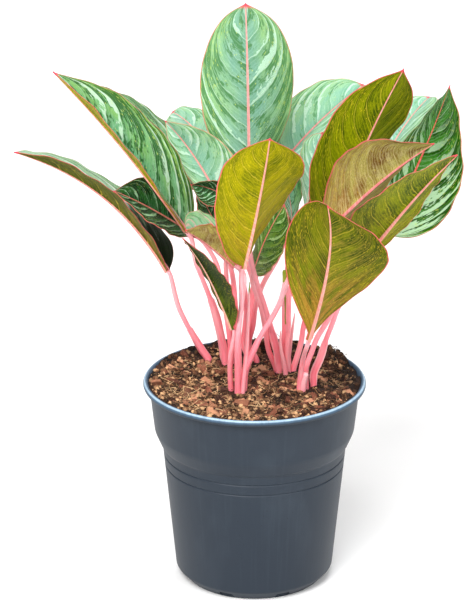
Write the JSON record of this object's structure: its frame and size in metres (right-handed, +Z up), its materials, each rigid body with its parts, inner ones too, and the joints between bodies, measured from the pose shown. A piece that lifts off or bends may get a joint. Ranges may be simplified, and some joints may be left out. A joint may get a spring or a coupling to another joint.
{
  "type": "potted chinese evergreen",
  "caption": "Bushy houseplant with oval silvery-green leaves, olive undersides and pink leaf stalks, standing in soil in a round slate-grey nursery pot.",
  "frame": {"origin": "centre of the flat underside of the pot", "axes": "+Z up; -Y towards the viewer of the picture; +X to the viewer's right"},
  "size_m": [0.3359, 0.2579, 0.438],
  "materials": {
    "pot": "slate blue-grey satin moulded plastic",
    "soil": "loose brown peat with bark chips and fibres",
    "petiole": "smooth fleshy coral pink",
    "leaf_upper": "satin, silvery mint with green veining and pink midrib",
    "leaf_dark": "satin, deep green with mint feathering and pink margin",
    "leaf_under": "satin olive underside with gold flecks and salmon midrib"
  },
  "bodies": {
    "root": {"pot": "pot", "soil": "soil", "shoot_left": "petiole", "shoot_left_mid": "petiole", "shoot_front": "petiole", "shoot_back": "petiole", "shoot_mid": "petiole", "shoot_right": "petiole", "leaf_crown": "leaf_upper", "leaf_back_right": "leaf_upper", "leaf_back_left": "leaf_upper", "leaf_left_pale": "leaf_upper", "leaf_left_rear": "leaf_upper", "leaf_left_high": "leaf_upper", "leaf_left_long": "leaf_under", "leaf_left_dark": "leaf_dark", "leaf_right_high": "leaf_under", "leaf_right_rear": "leaf_upper", "leaf_right_dark": "leaf_dark", "leaf_right_brown": "leaf_under", "leaf_right_olive": "leaf_under", "leaf_front_right": "leaf_under", "leaf_front_mid": "leaf_under", "leaf_low_left": "leaf_dark", "leaf_curled": "leaf_under", "leaf_inner_left": "leaf_dark", "leaf_inner_mid": "leaf_dark", "leaf_inner_right": "leaf_upper", "leaf_inner_brown": "leaf_under", "leaf_far_back": "leaf_upper"}
  },
  "joints": []
}
